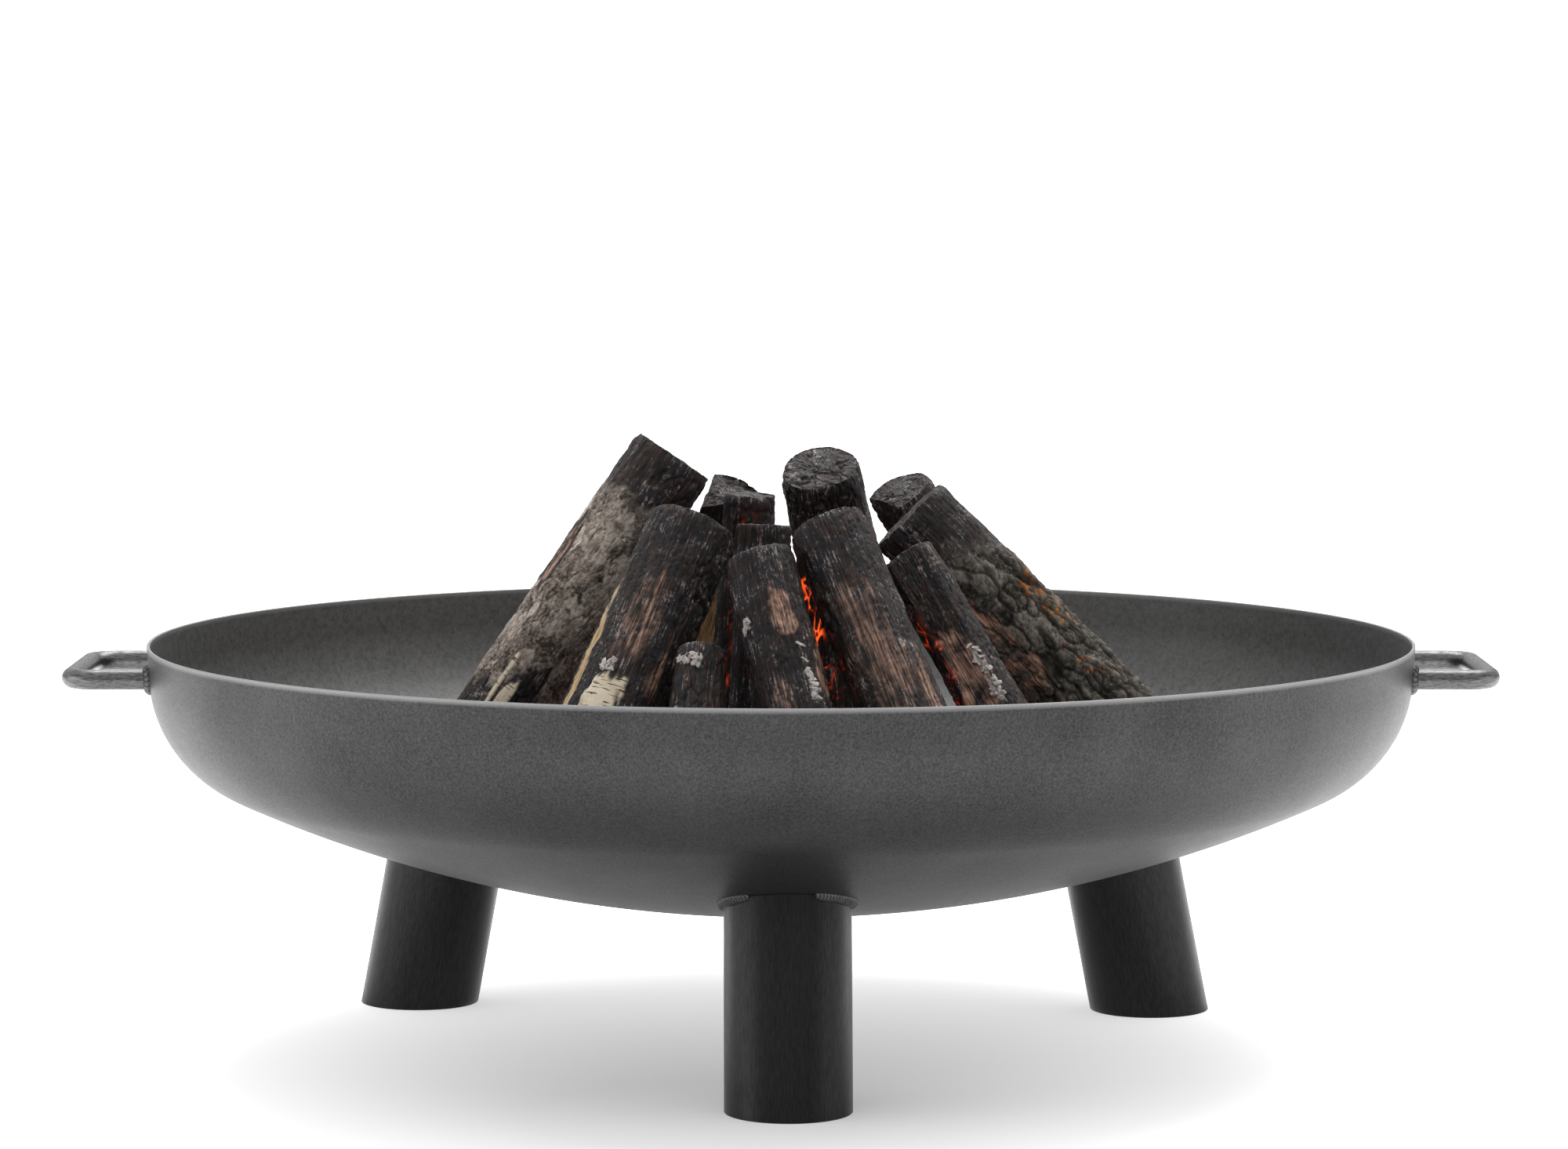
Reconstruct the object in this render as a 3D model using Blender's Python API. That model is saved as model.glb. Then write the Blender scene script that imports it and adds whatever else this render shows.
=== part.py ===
"""Welded steel fire bowl on three splayed tube legs, with two bent-rod handles and a laid wood fire.

Frame: the origin is on the ground under the middle of the bowl, +X points to the right handle, -Y to the
front leg and +Z up. Lengths are metres and angles are degrees. "Outer" is the underside of the bowl.
"""

import math

import bmesh
import bpy
import numpy as np

GAP = 0.0003  # clearance kept between pieces that touch

# Bowl: a dished disc of sheet with a rounded knuckle and a short lip that flares a little.
RIM_RADIUS = 0.400
RIM_HEIGHT = 0.2536
SHEET = 0.002
LIP_LENGTH = 0.022
LIP_FLARE = 3.3
KNUCKLE_RADIUS = 0.081
DISH_RADIUS = 0.826
BOWL_SIDES = 72
DISH_STEPS = 9
KNUCKLE_STEPS = 7

# Legs: lengths of tube coped to the dish and cut level at the ground. Each was set by hand.
LEG_RADIUS = 0.038
LEG_WALL = 0.003
LEG_SPLAY = 11.9
LEG_SIDES = 48
LEGS = (  # name, azimuth of the foot, its distance from the middle
    ("front", -89.0, 0.263),
    ("rear_left", 152.5, 0.270),
    ("rear_right", 21.5, 0.260),
)
LEG_STITCHES = (  # name, first and last angle round the tube, from its outward side
    ("a", -104.0, -37.0),
    ("b", 23.0, 100.0),
    ("c", 152.0, 212.0),
)
LEG_BEAD = 0.0055  # leg length of the fillet
HANDLE_BEAD = 0.0045
BEAD_STEP = 6.0
BEAD_END = 0.55  # size of a bead's first and last section, as a share of the rest

# Handles: round bar bent to a U, lying level, butted against the lip.
ROD_RADIUS = 0.0058
ROD_SIDES = 12
HANDLE_SPREAD = 0.120  # between the two runs of bar
HANDLE_HEIGHT = 0.2336
HANDLE_REACH = 0.449  # outermost point from the middle of the bowl
BEND_RADIUS = 0.014  # to the middle of the bar
BEND_STEPS = 6
HANDLE_WELD_STEPS = 18

# Fire: ash and charcoal heaped on the dish, and split and round firewood stood up round it.
BED_RADIUS = 0.178
BED_HEIGHT = 0.050  # heap above the dish at the middle
BED_SIDES = 40
BED_STEPS = 5
BED_LIFT = 0.006  # thickness at the heap's edge
BED_SWELLS = ((0.06, 3, 0.7), (0.05, 5, 2.1))  # share of the height, count round the heap, phase
LOG_SIDES = 16
LOG_RINGS = 7
LOBE = 0.02  # depth of one lobe as a share of the radius
LEAST_FACING = 0.05  # cosine past which a split face no longer cuts the outline
BED_MARGIN = 0.0015  # kept over the heap, whose flat facets stand a little above its curve
AIM_HEIGHT = 0.150  # where a log's lean is set

STEEL = (0.060, 0.061, 0.064, 1.0)
LEG_STEEL = (0.022, 0.022, 0.024, 1.0)
BEAD_STEEL = (0.20, 0.19, 0.18, 1.0)
ASH = (0.12, 0.10, 0.09, 1.0)
BARK = (0.11, 0.085, 0.065, 1.0)
CHAR = (0.018, 0.015, 0.014, 1.0)


class Log:
    """A piece of firewood that leans on the stack. Its axis runs from the aim point, at AIM_HEIGHT, to the
    top point; both are given by azimuth and distance. Splits are flat faces, each by its direction round
    the log, from its outward side, and its depth as a share of the radius."""

    def __init__(self, name, aim, top, height, radii, splits=(), colour=CHAR):
        self.name = name
        self.aim = around(*aim, AIM_HEIGHT)
        self.top = around(*top, height)
        self.radii = radii
        self.splits = splits
        self.colour = colour


def around(azimuth, distance, height):
    turn = math.radians(azimuth)
    return np.array([distance * math.cos(turn), distance * math.sin(turn), height])


def firewood():
    """The outer ring, from the left and on round by the front, then the kindling standing inside it."""
    return (
        Log("log_left", (187, 0.219), (187, 0.067), 0.372, (0.0290, 0.0285), (), BARK),
        Log("log_front_left_birch", (232, 0.213), (236, 0.096), 0.334, (0.0370, 0.0285), ((150, 0.75),)),
        Log("log_front_left_stub", (255, 0.224), (252, 0.154), 0.262, (0.0225, 0.0160), ((40, 0.70),)),
        Log(
            "log_front_split", (279, 0.199), (263.5, 0.124), 0.318, (0.0335, 0.0220), ((75, 0.62), (190, 0.5))
        ),
        Log("log_front_right", (298, 0.222), (285.5, 0.101), 0.334, (0.0285, 0.0255)),
        Log("log_right_char", (320, 0.224), (321, 0.100), 0.312, (0.0215, 0.0190), ((-60, 0.7),)),
        Log("log_right", (358, 0.260), (357, 0.079), 0.334, (0.0330, 0.0300), (), BARK),
        Log("log_back_right", (35, 0.226), (35, 0.089), 0.344, (0.0285, 0.0250), ((170, 0.4),), BARK),
        Log("log_back", (73, 0.220), (74, 0.090), 0.358, (0.0305, 0.0270)),
        Log(
            "log_back_split", (111, 0.226), (112, 0.090), 0.340, (0.0290, 0.0250), ((60, 0.5), (185, 0.3)), BARK
        ),
        Log("log_back_left", (149, 0.222), (149.5, 0.089), 0.352, (0.0290, 0.0250), (), BARK),
        Log("kindling_right", (42, 0.042), (32, 0.027), 0.318, (0.0185, 0.0170), ((170, 0.5),)),
        Log("kindling_back", (137, 0.044), (132, 0.028), 0.346, (0.0195, 0.0175)),
        Log("kindling_front", (250, 0.046), (247, 0.028), 0.330, (0.0200, 0.0180), ((20, 0.6),)),
    )


# ---------------------------------------------------------------- the bowl's section


def bowl_section():
    """Middle of the knuckle's arc (distance, height), height of the dish's centre, and the angle from
    straight down at which the two arcs join."""
    flare = math.radians(LIP_FLARE)
    knuckle_x = RIM_RADIUS - LIP_LENGTH * math.sin(flare) - KNUCKLE_RADIUS * math.cos(flare)
    knuckle_z = RIM_HEIGHT - LIP_LENGTH * math.cos(flare) + KNUCKLE_RADIUS * math.sin(flare)
    rise = math.sqrt((DISH_RADIUS - KNUCKLE_RADIUS) ** 2 - knuckle_x**2)
    return knuckle_x, knuckle_z, knuckle_z + rise, math.atan2(knuckle_x, rise)


KNUCKLE_X, KNUCKLE_Z, DISH_Z, JOIN = bowl_section()


def wall_distance(height, offset=0.0):
    """How far out the lip or knuckle is at a height, moved outwards by offset along its normal."""
    flare = math.radians(LIP_FLARE)
    if height > KNUCKLE_Z - (KNUCKLE_RADIUS + offset) * math.sin(flare):
        return RIM_RADIUS - (RIM_HEIGHT - height) * math.tan(flare) + offset / math.cos(flare)
    return KNUCKLE_X + math.sqrt((KNUCKLE_RADIUS + offset) ** 2 - (KNUCKLE_Z - height) ** 2)


def dish_height(distance, offset=0.0):
    return DISH_Z - math.sqrt((DISH_RADIUS + offset) ** 2 - distance**2)


def bowl_profile(offset):
    """Points (distance, height) from the middle of the dish to the rim, on the surface moved by offset."""
    points = []
    for angle in np.linspace(0.0, JOIN, DISH_STEPS, endpoint=False):
        reach = DISH_RADIUS + offset
        points.append((reach * math.sin(angle), DISH_Z - reach * math.cos(angle)))
    for angle in np.linspace(JOIN, math.radians(90.0 - LIP_FLARE), KNUCKLE_STEPS + 1):
        reach = KNUCKLE_RADIUS + offset
        points.append((KNUCKLE_X + reach * math.sin(angle), KNUCKLE_Z - reach * math.cos(angle)))
    points.append((wall_distance(RIM_HEIGHT, offset), RIM_HEIGHT))
    return points


# ---------------------------------------------------------------- making objects


def clear_scene():
    for obj in list(bpy.data.objects):
        bpy.data.objects.remove(obj, do_unlink=True)


def finish(colour, roughness, metallic):
    """A plain material of the given colour, roughness and metallic value."""
    name = f"finish_{round(colour[0] * 1000)}_{round(metallic * 10)}"
    made = bpy.data.materials.get(name)
    if made is None:
        made = bpy.data.materials.new(name)
        made.use_nodes = True
        shader = made.node_tree.nodes["Principled BSDF"]
        shader.inputs["Base Color"].default_value = colour
        shader.inputs["Roughness"].default_value = roughness
        shader.inputs["Metallic"].default_value = metallic
    return made


def add_object(name, shape, colour, roughness=0.5, metallic=0.0, crease=40.0):
    """Turns the bmesh into a named object, smooth where neighbouring faces meet under the crease angle."""
    bmesh.ops.recalc_face_normals(shape, faces=shape.faces)
    mesh = bpy.data.meshes.new(name)
    shape.to_mesh(mesh)
    shape.free()
    mesh.shade_smooth()
    mesh.set_sharp_from_angle(angle=math.radians(crease))
    mesh.materials.append(finish(colour, roughness, metallic))
    obj = bpy.data.objects.new(name, mesh)
    bpy.context.scene.collection.objects.link(obj)
    return obj


def loft(rings, closed=False):
    """Joins rings of points, all of one length, each to the next. A closed loft joins the last ring to the
    first; an open one is capped by a fan round the middle of each end ring."""
    shape = bmesh.new()
    made = [[shape.verts.new(point) for point in ring] for ring in rings]
    pairs = list(zip(made, made[1:]))
    if closed:
        pairs.append((made[-1], made[0]))
    for one, other in pairs:
        for index in range(len(one)):
            after = (index + 1) % len(one)
            shape.faces.new((one[index], one[after], other[after], other[index]))
    if not closed:
        for ring, points in ((made[0], rings[0]), (made[-1], rings[-1])):
            middle = shape.verts.new(np.mean(points, axis=0))
            for index in range(len(ring)):
                shape.faces.new((ring[index], ring[(index + 1) % len(ring)], middle))
    return shape


# ---------------------------------------------------------------- steel pieces


def make_bowl():
    """The section, out along the underside and back along the inside, spun round the upright axis."""
    section = bowl_profile(0.0) + bowl_profile(-SHEET)[::-1]
    shape = bmesh.new()
    points = [shape.verts.new((distance, 0.0, height)) for distance, height in section]
    edges = [shape.edges.new(pair) for pair in zip(points, points[1:])]
    bmesh.ops.spin(
        shape,
        geom=points + edges,
        cent=(0, 0, 0),
        axis=(0, 0, 1),
        angle=math.tau,
        steps=BOWL_SIDES,
        use_merge=True,
    )
    bmesh.ops.remove_doubles(shape, verts=shape.verts, dist=1e-6)
    add_object("bowl", shape, STEEL, 0.5, 0.8)


class Tube:
    """A leg's axes: foot is where its middle line meets the ground, along runs up it, and out and side are
    square to it, out being away from the middle of the bowl."""

    def __init__(self, azimuth, distance):
        turn, splay = math.radians(azimuth), math.radians(LEG_SPLAY)
        radial = np.array([math.cos(turn), math.sin(turn), 0.0])
        up = np.array([0.0, 0.0, 1.0])
        self.foot = distance * radial
        self.along = math.cos(splay) * up - math.sin(splay) * radial
        self.out = math.cos(splay) * radial + math.sin(splay) * up
        self.side = np.cross(up, radial)

    def start(self, angle, radius):
        return self.foot + radius * (math.cos(angle) * self.out + math.sin(angle) * self.side)

    def at_ground(self, angle, radius):
        start = self.start(angle, radius)
        return start - start[2] / self.along[2] * self.along

    def under_dish(self, angle, radius, below=0.0):
        """Where a line up the tube comes to GAP under the dish, then down by below."""
        start = self.start(angle, radius)
        centre = np.array([0.0, 0.0, DISH_Z])
        towards = start - centre
        half = towards @ self.along
        root = math.sqrt(half**2 - (towards @ towards - (DISH_RADIUS + GAP) ** 2))
        return start + (-half - root - below) * self.along


def make_leg(name, tube):
    turns = np.linspace(0.0, math.tau, LEG_SIDES, endpoint=False)
    bore = LEG_RADIUS - LEG_WALL
    rings = [
        [tube.at_ground(turn, LEG_RADIUS) for turn in turns],
        [tube.under_dish(turn, LEG_RADIUS) for turn in turns],
        [tube.under_dish(turn, bore) for turn in turns],
        [tube.at_ground(turn, bore) for turn in turns],
    ]
    add_object(f"leg_{name}", loft(rings, closed=True), LEG_STEEL, 0.45, 0.8)


# Section of a fillet: shares of its leg length out from the root and down from it, round the outline.
FILLET = ((0.0, 0.0), (1.0, 0.0), (0.80, 0.46), (0.46, 0.80), (0.0, 1.0))


def make_leg_stitch(name, tube, first, last):
    """A fillet in the corner of tube and dish, from the first to the last angle, tapered at its ends."""
    steps = round((last - first) / BEAD_STEP)
    rings = []
    for step in range(steps + 1):
        turn = math.radians(first + (last - first) * step / steps)
        size = LEG_BEAD * (BEAD_END if step in (0, steps) else 1.0)
        ring = []
        for across, down in FILLET:
            ring.append(tube.under_dish(turn, LEG_RADIUS + GAP + across * size, GAP + down * size))
        rings.append(ring)
    add_object(name, loft(rings), BEAD_STEEL, 0.4, 0.9)


def handle_path():
    """Middle line of the right handle, from its front end on the lip, round both bends, to its back end."""
    reach = HANDLE_REACH - ROD_RADIUS - BEND_RADIUS
    half = HANDLE_SPREAD / 2 - BEND_RADIUS
    points = [(wall_distance(HANDLE_HEIGHT), -HANDLE_SPREAD / 2)]
    for middle, first in ((-half, -90.0), (half, 0.0)):
        for step in range(BEND_STEPS + 1):
            turn = math.radians(first + 90.0 * step / BEND_STEPS)
            points.append((reach + BEND_RADIUS * math.cos(turn), middle + BEND_RADIUS * math.sin(turn)))
    points.append((wall_distance(HANDLE_HEIGHT), HANDLE_SPREAD / 2))
    return np.array(points)


def on_wall(across, height, offset):
    """Distance along X at which the wall, moved out by offset, stands at that Y and height."""
    return math.sqrt(wall_distance(height, offset) ** 2 - across**2)


def make_handle(name, side):
    """A round bar carried along the path, its two ends coped to the lip. side is 1 on the right, -1 left."""
    path = handle_path()
    tangents = np.gradient(path, axis=0)
    tangents /= np.linalg.norm(tangents, axis=1)[:, None]
    rings = []
    for index, ((x, y), (run_x, run_y)) in enumerate(zip(path, tangents)):
        if index in (0, len(path) - 1):
            run_x, run_y = math.copysign(1.0, run_x), 0.0
        ring = []
        for turn in np.linspace(0.0, math.tau, ROD_SIDES, endpoint=False):
            out, up = ROD_RADIUS * math.cos(turn), ROD_RADIUS * math.sin(turn)
            point = [x + out * run_y, y - out * run_x, HANDLE_HEIGHT + up]
            if index in (0, len(path) - 1):
                point[0] = on_wall(point[1], point[2], GAP)
            ring.append((side * point[0], point[1], point[2]))
        rings.append(ring)
    add_object(name, loft(rings), STEEL, 0.4, 0.85)


def make_handle_weld(name, side, across):
    """A fillet all the way round one end of the bar, against the lip."""
    rings = []
    for turn in np.linspace(0.0, math.tau, HANDLE_WELD_STEPS, endpoint=False):
        ring = []
        for away, along in FILLET:
            reach = ROD_RADIUS + GAP + away * HANDLE_BEAD
            y = across + reach * math.cos(turn)
            z = HANDLE_HEIGHT + reach * math.sin(turn)
            x = on_wall(y, z, GAP) + GAP + along * HANDLE_BEAD
            ring.append((side * x, y, z))
        rings.append(ring)
    add_object(name, loft(rings, closed=True), BEAD_STEEL, 0.4, 0.9)


# ---------------------------------------------------------------- the fire


def bed_top(distance, turn):
    """Height of the heap: a flattened dome whose edge runs out on the dish, with low swells round it."""
    share = distance / BED_RADIUS
    dome = (1.0 - share**2) * (1.0 - 0.25 * share)
    swell = sum(height * math.sin(count * turn + phase) for height, count, phase in BED_SWELLS)
    return dish_height(distance, -SHEET) + BED_HEIGHT * dome * (1.0 + swell * share) + BED_LIFT


def make_bed():
    """Rings out along the dish, then back in over the heap."""
    turns = np.linspace(0.0, math.tau, BED_SIDES, endpoint=False)
    shares = np.linspace(0.0, 1.0, BED_STEPS + 1)[1:]
    rings = []
    for share in shares:
        reach = share * BED_RADIUS
        low = dish_height(reach, -SHEET - GAP)
        rings.append([(reach * math.cos(turn), reach * math.sin(turn), low) for turn in turns])
    for share in shares[::-1]:
        reach = share * BED_RADIUS
        ring = []
        for turn in turns:
            ring.append((reach * math.cos(turn), reach * math.sin(turn), bed_top(reach, turn)))
        rings.append(ring)
    add_object("ash_and_ember_bed", loft(rings), ASH, 0.95)


def log_outline(log, share, turn, seed):
    """Radius of a log at a share of its length and an angle round it: a taper, low lobes that only take
    wood away, and flat split faces."""
    radius = log.radii[0] + (log.radii[1] - log.radii[0]) * share
    lobes = math.sin(2 * turn + seed) + math.sin(3 * turn + 1.7 * seed + 2.0 * share)
    radius *= 1.0 - LOBE * (2.0 + lobes)
    for towards, depth in log.splits:
        facing = math.cos(turn - math.radians(towards))
        if facing > LEAST_FACING:
            radius = min(radius, depth * log.radii[0] / facing)
    return radius


def stands_clear(points):
    """True where every point is above the dish, and above the heap where that covers the dish."""
    for x, y, z in points:
        distance = math.hypot(x, y)
        floor = dish_height(distance, -SHEET) + GAP
        if distance < BED_RADIUS:
            floor = max(floor, bed_top(distance, math.atan2(y, x)) + BED_MARGIN)
        if z < floor:
            return False
    return True


def make_log(log, seed):
    """The outline carried along the axis, from a foot that just clears the dish to the top point."""
    axis = log.top - log.aim
    axis /= np.linalg.norm(axis)
    radial = np.array([log.aim[0], log.aim[1], 0.0])
    out = radial - (radial @ axis) * axis
    out /= np.linalg.norm(out)
    side = np.cross(axis, out)
    turns = np.linspace(0.0, math.tau, LOG_SIDES, endpoint=False)

    def ring(middle, share):
        points = []
        for turn in turns:
            reach = log_outline(log, share, turn, seed)
            points.append(middle + reach * (math.cos(turn) * out + math.sin(turn) * side))
        return np.array(points)

    near, far = 0.05, 0.60
    for _ in range(40):
        length = (near + far) / 2
        foot = ring(log.top - length * axis, 0.0)
        near, far = (length, far) if stands_clear(foot) else (near, length)
    rings = []
    for share in np.linspace(0.0, 1.0, LOG_RINGS):
        rings.append(ring(log.top - (1.0 - share) * near * axis, share))
    add_object(log.name, loft(rings), log.colour, 0.9)


def main():
    clear_scene()
    make_bowl()
    for name, azimuth, distance in LEGS:
        tube = Tube(azimuth, distance)
        make_leg(name, tube)
        for stitch, first, last in LEG_STITCHES:
            make_leg_stitch(f"weld_leg_{name}_{stitch}", tube, first, last)
    for name, side in (("left", -1.0), ("right", 1.0)):
        make_handle(f"handle_{name}", side)
        for end, across in (("front", -HANDLE_SPREAD / 2), ("rear", HANDLE_SPREAD / 2)):
            make_handle_weld(f"weld_handle_{name}_{end}", side, across)
    make_bed()
    for seed, log in enumerate(firewood()):
        make_log(log, float(seed))


main()
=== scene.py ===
"""The looks of a welded steel fire bowl with a wood fire laid in it.

Lengths are metres in the frame of the solid model: z = 0 is the ground under the middle of the bowl, +X
points to the right handle and -Y to the front leg. Every surface is a grid of points worked out as whole
arrays: rows run one way and columns wrap round the other.
"""

import math

import bpy
import numpy as np
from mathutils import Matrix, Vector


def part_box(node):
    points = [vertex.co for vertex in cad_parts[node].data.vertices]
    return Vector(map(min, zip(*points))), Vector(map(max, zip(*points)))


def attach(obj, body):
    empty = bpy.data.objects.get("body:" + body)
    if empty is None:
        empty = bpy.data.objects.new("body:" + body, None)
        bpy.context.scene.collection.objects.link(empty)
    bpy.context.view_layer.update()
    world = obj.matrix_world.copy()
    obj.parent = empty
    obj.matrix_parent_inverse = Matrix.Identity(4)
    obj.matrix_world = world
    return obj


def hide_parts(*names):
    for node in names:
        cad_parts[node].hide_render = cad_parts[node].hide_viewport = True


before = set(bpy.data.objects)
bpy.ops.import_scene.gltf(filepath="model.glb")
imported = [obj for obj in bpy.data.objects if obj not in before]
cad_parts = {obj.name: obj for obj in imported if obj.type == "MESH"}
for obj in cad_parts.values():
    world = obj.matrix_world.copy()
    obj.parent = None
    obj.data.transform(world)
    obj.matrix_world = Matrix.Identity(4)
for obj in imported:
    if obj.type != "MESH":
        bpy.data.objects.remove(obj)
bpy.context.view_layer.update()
MM = 0.001
GAP = 0.3 * MM  # clearance between workpieces that touch

# The bowl's section: spherical dish, knuckle, and a short lip that flares a little.
RIM_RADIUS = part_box("bowl")[1].x
RIM_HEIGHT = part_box("bowl")[1].z
SHEET = 2 * MM
LIP_LENGTH = 22 * MM
LIP_FLARE = math.radians(3.3)
KNUCKLE_RADIUS = 81 * MM
DISH_RADIUS = 826 * MM
KNUCKLE_X = RIM_RADIUS - LIP_LENGTH * math.sin(LIP_FLARE) - KNUCKLE_RADIUS * math.cos(LIP_FLARE)
KNUCKLE_Z = RIM_HEIGHT - LIP_LENGTH * math.cos(LIP_FLARE) + KNUCKLE_RADIUS * math.sin(LIP_FLARE)
DISH_RISE = math.sqrt((DISH_RADIUS - KNUCKLE_RADIUS) ** 2 - KNUCKLE_X**2)
DISH_Z = KNUCKLE_Z + DISH_RISE
JOIN = math.atan2(KNUCKLE_X, DISH_RISE)

LEG_RADIUS = 38 * MM
LEG_WALL = 3 * MM
LEG_SPLAY = math.radians(11.9)
LEGS = {"front": (-89.0, 0.263), "rear_left": (152.5, 0.270), "rear_right": (21.5, 0.260)}
LEG_STITCHES = {"a": (-104, -37), "b": (23, 100), "c": (152, 212)}
LEG_BEAD = 4.4 * MM
ROD_RADIUS = 6.3 * MM
HANDLE_SPREAD = 120 * MM
HANDLE_HEIGHT = 233.6 * MM
HANDLE_REACH = 450.5 * MM
BEND_RADIUS = 16 * MM
HANDLE_BEAD = 3.8 * MM
SUNK = 0.4 * MM  # how far a bead has melted into what it joins
RIPPLE = 2.2 * MM  # pitch of the ripples along a leg's bead
BAR_RIPPLES = 16  # ripples round the end of a handle bar

ROW_PITCH = 1.15e-3  # between rows of points along a log
BED_RADIUS = 178 * MM
BED_HEIGHT = 50 * MM
AIM_HEIGHT = 150 * MM
FLOOR_REACH = 40.0
FLOOR_LIGHT = 0.26  # the floor's own light in the middle of the shadow
SHADOW_MIDDLE = (-0.05, -0.27, 0.0)
ROOM_LIGHT = 0.52
ROOM_TILT = (-0.08, 0.08, 0.65)  # the room is darker towards the viewer and brighter above


# ---------------------------------------------------------------- numbers


def ease(value, low, high):
    """0 below low, 1 above high, and the S-curve 3s^2 - 2s^3 between them."""
    share = np.clip((value - low) / (high - low), 0.0, 1.0)
    return share * share * (3.0 - 2.0 * share)


def blend(first, second, share):
    """First where share is 0, second where it is 1, and in proportion between."""
    return first * (1 - share) + second * share


def stacked(*parts):
    """Arrays and numbers brought to one shape and set side by side along a new last axis."""
    return np.stack(np.broadcast_arrays(*parts), -1)


def full_turn(count):
    """Angles spaced evenly round a full turn."""
    return np.linspace(0.0, math.tau, count, endpoint=False)


def polar(turn, distance, height=0.0):
    """The points at each angle, distance from the upright axis and height."""
    return stacked(distance * np.cos(turn), distance * np.sin(turn), height)


def around(azimuth, distance, height):
    """The same with the angle in degrees."""
    return polar(np.radians(azimuth), distance, height)


def hashed(cell, seed):
    """32 scrambled bits for each whole-number cell: every axis times a large odd number, then mixed."""
    key = cell.astype(np.uint32)
    bits = key[..., 0] * np.uint32(0x8DA6B343) ^ key[..., 1] * np.uint32(0xD8163841)
    bits = bits ^ key[..., 2] * np.uint32(0xCB1AB31F) ^ np.uint32(seed * 0x9E3779B9 & 0xFFFFFFFF)
    for shift, odd in ((15, 0x2C1B3C6D), (12, 0x297A2D39)):
        bits = (bits ^ bits >> np.uint32(shift)) * np.uint32(odd)
    return bits ^ bits >> np.uint32(15)


def thirds(bits):
    """Three numbers from -1 to 1, from three runs of ten bits."""
    return np.stack([(bits >> np.uint32(shift) & np.uint32(1023)) / 511.5 - 1.0 for shift in (0, 10, 20)], -1)


def noise(points, seed):
    """Gradient noise: at each corner of the unit cell a random slope times the offset from that corner,
    blended over the cell by a quintic."""
    cell = np.floor(points).astype(np.int64)
    part = points - cell
    fade = part**3 * (part * (part * 6.0 - 15.0) + 10.0)
    total = np.zeros(points.shape[:-1])
    for corner in np.ndindex(2, 2, 2):
        slope = thirds(hashed(cell + corner, seed))
        weight = np.where(np.array(corner) == 1, fade, 1.0 - fade).prod(-1)
        total += weight * (slope * (part - corner)).sum(-1)
    return total


def rough(points, seed, octaves=4):
    """Gradient noise summed over octaves, each twice as fine and half as tall as the last."""
    return sum(
        noise(points * 2.0**level + 17.0 * level, seed + level) / 2.0**level for level in range(octaves)
    )


def cells(points, seed):
    """Voronoi cells about one random point in each unit cube. Gives the second nearest distance less the
    nearest, which is 0 on the borders, and a random tone for each cell."""
    cell = np.floor(points).astype(np.int64)
    first = np.full(points.shape[:-1], 9.0)
    second = first.copy()
    tone = np.zeros_like(first)
    for step in np.ndindex(3, 3, 3):
        place = cell + step - 1
        bits = hashed(place, seed)
        away = np.linalg.norm(points - place - 0.5 - 0.45 * thirds(bits), axis=-1)
        closer = away < first
        second = np.where(closer, first, np.minimum(second, away))
        tone = np.where(closer, (bits >> np.uint32(4) & np.uint32(255)) / 255.0, tone)
        first = np.minimum(first, away)
    return second - first, tone


def cracks(points, seed, width):
    """Wandering hairline cracks: 1 where two octaves of gradient noise pass through zero, falling to 0 at
    width from it."""
    return 1.0 - ease(np.abs(noise(points, seed) + 0.35 * noise(2.3 * points, seed + 1)), 0.0, width)


# ---------------------------------------------------------------- meshes


def add_object(name, data):
    """An object in the scene that holds a mesh, a light or a camera."""
    made = bpy.data.objects.new(name, data)
    bpy.context.scene.collection.objects.link(made)
    return made


def add_mesh(name, points, faces, marks, material, smooth=True):
    """A mesh object from points, blocks of faces with one size each, and marks: named values, three to a
    point."""
    mesh = bpy.data.meshes.new(name)
    mesh.vertices.add(len(points))
    mesh.vertices.foreach_set("co", np.ascontiguousarray(points, np.float32).ravel())
    corners = np.concatenate([np.ravel(block) for block in faces]).astype(np.int32)
    sizes = np.concatenate([np.full(len(block), block.shape[1]) for block in faces])
    mesh.loops.add(len(corners))
    mesh.loops.foreach_set("vertex_index", corners)
    mesh.polygons.add(len(sizes))
    mesh.polygons.foreach_set("loop_start", (np.cumsum(sizes) - sizes).astype(np.int32))
    mesh.update(calc_edges=True)
    for mark, values in marks.items():
        layer = mesh.attributes.new(mark, "FLOAT_VECTOR", "POINT")
        layer.data.foreach_set("vector", np.ascontiguousarray(values, np.float32).ravel())
    if smooth:
        mesh.shade_smooth()
    mesh.materials.append(material)
    return add_object(name, mesh)


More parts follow.
